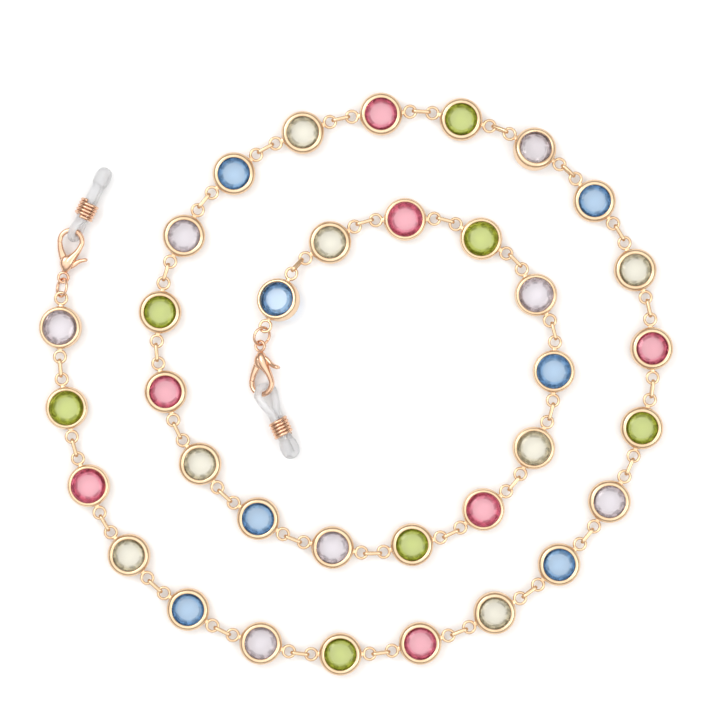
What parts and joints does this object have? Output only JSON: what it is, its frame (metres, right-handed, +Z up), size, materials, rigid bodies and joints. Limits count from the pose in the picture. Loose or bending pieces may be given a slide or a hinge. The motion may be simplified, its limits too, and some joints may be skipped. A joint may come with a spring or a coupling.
{
  "type": "eyeglasses chain strap",
  "caption": "Eyeglasses chain of round bezel-set crystals in five repeating tints, gold links, lobster clasps and clear silicone temple loops.",
  "frame": {"origin": "centre of the laid-out chain's bounding box, on the surface that it rests on", "axes": "+X to the right and +Y up the page in plan view of the laid-out spiral, +Z up from the resting surface"},
  "size_m": [0.1486, 0.1366, 0.0063],
  "materials": {
    "gold": "polished",
    "rose_gold": "polished",
    "spring_steel": "satin",
    "silicone": "translucent satin",
    "crystal_lavender": "faceted, polished",
    "crystal_green": "faceted, polished",
    "crystal_pink": "faceted, polished",
    "crystal_cream": "faceted, polished",
    "crystal_blue": "faceted, polished"
  },
  "bodies": {
    "station_01_lavender": {"station_01_lavender_setting": "gold", "station_01_lavender_stone": "crystal_lavender", "station_01_lavender_link": "gold"},
    "station_02_green": {"station_02_green_setting": "gold", "station_02_green_stone": "crystal_green", "station_02_green_link": "gold"},
    "station_03_pink": {"station_03_pink_setting": "gold", "station_03_pink_stone": "crystal_pink", "station_03_pink_link": "gold"},
    "station_04_cream": {"station_04_cream_setting": "gold", "station_04_cream_stone": "crystal_cream", "station_04_cream_link": "gold"},
    "station_05_blue": {"station_05_blue_setting": "gold", "station_05_blue_stone": "crystal_blue", "station_05_blue_link": "gold"},
    "station_06_lavender": {"station_06_lavender": "gold"},
    "station_07_green": {"station_07_green": "gold"},
    "station_08_pink": {"station_08_pink": "gold"},
    "station_09_cream": {"station_09_cream": "gold"},
    "station_10_blue": {"station_10_blue": "gold"},
    "station_11_lavender": {"station_11_lavender": "gold"},
    "station_12_green": {"station_12_green": "gold"},
    "station_13_pink": {"station_13_pink": "gold"},
    "station_14_cream": {"station_14_cream": "gold"},
    "station_15_blue": {"station_15_blue": "gold"},
    "station_16_lavender": {"station_16_lavender": "gold"},
    "station_17_green": {"station_17_green": "gold"},
    "station_18_pink": {"station_18_pink": "gold"},
    "station_19_cream": {"station_19_cream": "gold"},
    "station_20_blue": {"station_20_blue": "gold"},
    "station_21_lavender": {"station_21_lavender": "gold"},
    "station_22_green": {"station_22_green": "gold"},
    "station_23_pink": {"station_23_pink": "gold"},
    "station_24_cream": {"station_24_cream": "gold"},
    "station_25_blue": {"station_25_blue": "gold"},
    "station_26_lavender": {"station_26_lavender": "gold"},
    "station_27_green": {"station_27_green": "gold"},
    "station_28_pink": {"station_28_pink": "gold"},
    "station_29_cream": {"station_29_cream": "gold"},
    "station_30_blue": {"station_30_blue": "gold"},
    "station_31_lavender": {"station_31_lavender": "gold"},
    "station_32_green": {"station_32_green": "gold"},
    "station_33_pink": {"station_33_pink": "gold"},
    "station_34_cream": {"station_34_cream": "gold"},
    "station_35_blue": {"station_35_blue": "gold"},
    "outer_jump_ring": {"outer_jump_ring": "rose_gold"},
    "outer_clasp": {"outer_clasp_body": "rose_gold", "outer_clasp_pin": "rose_gold", "outer_clasp_spring": "spring_steel"},
    "outer_lever": {"outer_clasp_lever": "rose_gold"},
    "outer_loop": {"outer_temple_loop": "silicone"},
    "outer_coil": {"outer_coil": "rose_gold"},
    "inner_jump_ring": {"inner_jump_ring": "rose_gold"},
    "inner_clasp": {"inner_clasp_body": "rose_gold", "inner_clasp_pin": "rose_gold", "inner_clasp_spring": "spring_steel"},
    "inner_lever": {"inner_clasp_lever": "rose_gold"},
    "inner_loop": {"inner_temple_loop": "silicone"},
    "inner_coil": {"inner_coil": "rose_gold"}
  },
  "joints": [
    {"name": "outer_lever_pivot", "type": "hinge", "parent": "outer_clasp", "child": "outer_lever", "pos_m": [-0.06783, 0.0285, 0.00233], "axis": [0.0239, 0.108, -0.9939], "range_deg": [0, 18], "stiffness_Nm_per_rad": 0.004},
    {"name": "outer_coil_slide", "type": "slide", "parent": "outer_loop", "child": "outer_coil", "axis": [0.4458, 0.8941, -0.0428], "range_m": [0, 0.0036]},
    {"name": "outer_loop_swing", "type": "hinge", "parent": "outer_clasp", "child": "outer_loop", "pos_m": [-0.06557, 0.03576, 0.00317], "axis": [0.8946, -0.446, -0.0269], "range_deg": [-60, 60]},
    {"name": "outer_clasp_swing", "type": "hinge", "parent": "outer_jump_ring", "child": "outer_clasp", "pos_m": [-0.06867, 0.02471, 0.0019], "axis": [-0.5781, -0.0031, -0.816], "range_deg": [-75, 75]},
    {"name": "outer_ring_swing", "type": "hinge", "parent": "station_01_lavender", "child": "outer_jump_ring", "pos_m": [-0.06906, 0.02145, 0.00219], "axis": [0.9973, -0.0209, 0.0698], "range_deg": [-30, 30]},
    {"name": "inner_lever_pivot", "type": "hinge", "parent": "inner_clasp", "child": "inner_lever", "pos_m": [-0.02231, 0.00532, 0.00245], "axis": [-0.4222, -0.0184, 0.9063], "range_deg": [0, 18], "stiffness_Nm_per_rad": 0.004},
    {"name": "inner_coil_slide", "type": "slide", "parent": "inner_loop", "child": "inner_coil", "axis": [0.4067, -0.9135, 0], "range_m": [-0.0015, 0.0004]},
    {"name": "inner_loop_swing", "type": "hinge", "parent": "inner_clasp", "child": "inner_loop", "pos_m": [-0.02119, -0.00219, 0.00282], "axis": [0.8381, 0.3731, 0.398], "range_deg": [-60, 45]},
    {"name": "inner_clasp_swing", "type": "hinge", "parent": "inner_jump_ring", "child": "inner_clasp", "pos_m": [-0.02248, 0.00922, 0.00245], "axis": [0.8171, -0.0467, -0.5746], "range_deg": [-75, 75]},
    {"name": "inner_ring_swing", "type": "hinge", "parent": "station_35_blue", "child": "inner_jump_ring", "pos_m": [-0.02181, 0.01237, 0.00314], "axis": [0.8518, -0.4231, 0.309], "range_deg": [-30, 30]},
    {"name": "junction_01_02", "type": "hinge", "parent": "station_02_green", "child": "station_01_lavender", "pos_m": [-0.06921, 0.00248, 0.0019], "axis": [0.9851, 0.1721, 0], "range_deg": [-80, 80]},
    {"name": "junction_02_03", "type": "hinge", "parent": "station_03_pink", "child": "station_02_green", "pos_m": [-0.06569, -0.01618, 0.0019], "axis": [-0.9289, -0.3704, 0], "range_deg": [-80, 80]},
    {"name": "junction_03_04", "type": "hinge", "parent": "station_04_cream", "child": "station_03_pink", "pos_m": [-0.05832, -0.03367, 0.0019], "axis": [0.781, 0.6245, 0], "range_deg": [-80, 80]},
    {"name": "junction_04_05", "type": "hinge", "parent": "station_05_blue", "child": "station_04_cream", "pos_m": [-0.04617, -0.04824, 0.0019], "axis": [-0.5555, -0.8315, 0], "range_deg": [-80, 80]},
    {"name": "junction_05_06", "type": "hinge", "parent": "station_06_lavender", "child": "station_05_blue", "pos_m": [-0.03018, -0.05844, 0.00212], "axis": [-0.2778, -0.9592, 0.0523], "range_deg": [-80, 80]},
    {"name": "junction_06_07", "type": "hinge", "parent": "station_07_green", "child": "station_06_lavender", "pos_m": [-0.01186, -0.06334, 0.0019], "axis": [-0.0081, 1, 0], "range_deg": [-80, 80]},
    {"name": "junction_07_08", "type": "hinge", "parent": "station_08_pink", "child": "station_07_green", "pos_m": [0.00712, -0.06285, 0.0019], "axis": [-0.2594, 0.9658, 0], "range_deg": [-80, 80]},
    {"name": "junction_08_09", "type": "hinge", "parent": "station_09_cream", "child": "station_08_pink", "pos_m": [0.02535, -0.05762, 0.00212], "axis": [0.4927, -0.8686, -0.0523], "range_deg": [-80, 80]},
    {"name": "junction_09_10", "type": "hinge", "parent": "station_10_blue", "child": "station_09_cream", "pos_m": [0.04169, -0.04797, 0.0019], "axis": [-0.6959, 0.7181, 0], "range_deg": [-80, 80]},
    {"name": "junction_10_11", "type": "hinge", "parent": "station_11_lavender", "child": "station_10_blue", "pos_m": [0.05509, -0.03453, 0.0019], "axis": [0.8539, -0.5204, 0], "range_deg": [-80, 80]},
    {"name": "junction_11_12", "type": "hinge", "parent": "station_12_green", "child": "station_11_lavender", "pos_m": [0.06469, -0.01815, 0.0019], "axis": [-0.9605, 0.2784, 0], "range_deg": [-80, 80]},
    {"name": "junction_12_13", "type": "hinge", "parent": "station_13_pink", "child": "station_12_green", "pos_m": [0.06957, 0.00017, 0.00219], "axis": [0.9967, 0.0407, -0.0698], "range_deg": [-80, 80]},
    {"name": "junction_13_14", "type": "hinge", "parent": "station_14_cream", "child": "station_13_pink", "pos_m": [0.06838, 0.01908, 0.0019], "axis": [-0.9327, -0.3607, 0], "range_deg": [-80, 80]},
    {"name": "junction_14_15", "type": "hinge", "parent": "station_15_blue", "child": "station_14_cream", "pos_m": [0.06114, 0.03662, 0.0019], "axis": [0.7664, 0.6424, 0], "range_deg": [-80, 80]},
    {"name": "junction_15_16", "type": "hinge", "parent": "station_16_lavender", "child": "station_15_blue", "pos_m": [0.0488, 0.05074, 0.00295], "axis": [-0.5037, -0.8242, 0.2588], "range_deg": [-80, 80]},
    {"name": "junction_16_17", "type": "hinge", "parent": "station_17_green", "child": "station_16_lavender", "pos_m": [0.03261, 0.06019, 0.0019], "axis": [0.2219, 0.9751, 0], "range_deg": [-80, 80]},
    {"name": "junction_17_18", "type": "hinge", "parent": "station_18_pink", "child": "station_17_green", "pos_m": [0.01402, 0.06398, 0.0019], "axis": [0.0876, -0.9962, 0], "range_deg": [-80, 80]},
    {"name": "junction_18_19", "type": "hinge", "parent": "station_18_pink", "child": "station_19_cream", "pos_m": [-0.00485, 0.06195, 0.0019], "axis": [-0.3674, 0.93, 0], "range_deg": [-80, 80]},
    {"name": "junction_19_20", "type": "hinge", "parent": "station_19_cream", "child": "station_20_blue", "pos_m": [-0.02235, 0.05462, 0.0019], "axis": [0.6492, -0.7606, 0], "range_deg": [-80, 80]},
    {"name": "junction_20_21", "type": "hinge", "parent": "station_20_blue", "child": "station_21_lavender", "pos_m": [-0.03645, 0.04196, 0.00212], "axis": [-0.8809, 0.4704, 0.0523], "range_deg": [-80, 80]},
    {"name": "junction_21_22", "type": "hinge", "parent": "station_21_lavender", "child": "station_22_green", "pos_m": [-0.04495, 0.02502, 0.0019], "axis": [-0.9932, 0.1164, 0], "range_deg": [-80, 80]},
    {"name": "junction_22_23", "type": "hinge", "parent": "station_22_green", "child": "station_23_pink", "pos_m": [-0.04668, 0.00614, 0.0019], "axis": [-0.9671, -0.2545, 0], "range_deg": [-80, 80]},
    {"name": "junction_23_24", "type": "hinge", "parent": "station_23_pink", "child": "station_24_cream", "pos_m": [-0.04139, -0.01207, 0.0019], "axis": [0.8073, 0.5902, 0], "range_deg": [-80, 80]},
    {"name": "junction_24_25", "type": "hinge", "parent": "station_24_cream", "child": "station_25_blue", "pos_m": [-0.02982, -0.02708, 0.00212], "axis": [-0.5353, -0.843, -0.0523], "range_deg": [-80, 80]},
    {"name": "junction_25_26", "type": "hinge", "parent": "station_25_blue", "child": "station_26_lavender", "pos_m": [-0.01356, -0.03683, 0.0019], "axis": [-0.1762, -0.9843, 0], "range_deg": [-80, 80]},
    {"name": "junction_26_27", "type": "hinge", "parent": "station_26_lavender", "child": "station_27_green", "pos_m": [0.00518, -0.03963, 0.0019], "axis": [0.244, -0.9698, 0], "range_deg": [-80, 80]},
    {"name": "junction_27_28", "type": "hinge", "parent": "station_27_green", "child": "station_28_pink", "pos_m": [0.02341, -0.03448, 0.0019], "axis": [-0.6216, 0.7834, 0], "range_deg": [-80, 80]},
    {"name": "junction_28_29", "type": "hinge", "parent": "station_28_pink", "child": "station_29_cream", "pos_m": [0.03791, -0.02228, 0.0019], "axis": [0.8889, -0.458, 0], "range_deg": [-80, 80]},
    {"name": "junction_29_30", "type": "hinge", "parent": "station_29_cream", "child": "station_30_blue", "pos_m": [0.0461, -0.0052, 0.00212], "axis": [-0.998, 0.0354, -0.0523], "range_deg": [-80, 80]},
    {"name": "junction_30_31", "type": "hinge", "parent": "station_30_blue", "child": "station_31_lavender", "pos_m": [0.0461, 0.01371, 0.0019], "axis": [0.8773, 0.4799, 0], "range_deg": [-80, 80]},
    {"name": "junction_31_32", "type": "hinge", "parent": "station_31_lavender", "child": "station_32_green", "pos_m": [0.03641, 0.02996, 0.0019], "axis": [-0.4995, -0.8663, 0], "range_deg": [-80, 80]},
    {"name": "junction_32_33", "type": "hinge", "parent": "station_32_green", "child": "station_33_pink", "pos_m": [0.01968, 0.03879, 0.0019], "axis": [-0.0243, 0.9997, 0], "range_deg": [-80, 80]},
    {"name": "junction_33_34", "type": "hinge", "parent": "station_33_pink", "child": "station_34_cream", "pos_m": [0.0008, 0.03763, 0.0019], "axis": [0.5409, -0.8411, 0], "range_deg": [-80, 80]},
    {"name": "junction_34_35", "type": "hinge", "parent": "station_34_cream", "child": "station_35_blue", "pos_m": [-0.01451, 0.02706, 0.00314], "axis": [-0.8518, 0.4231, -0.309], "range_deg": [-40, 80]}
  ]
}
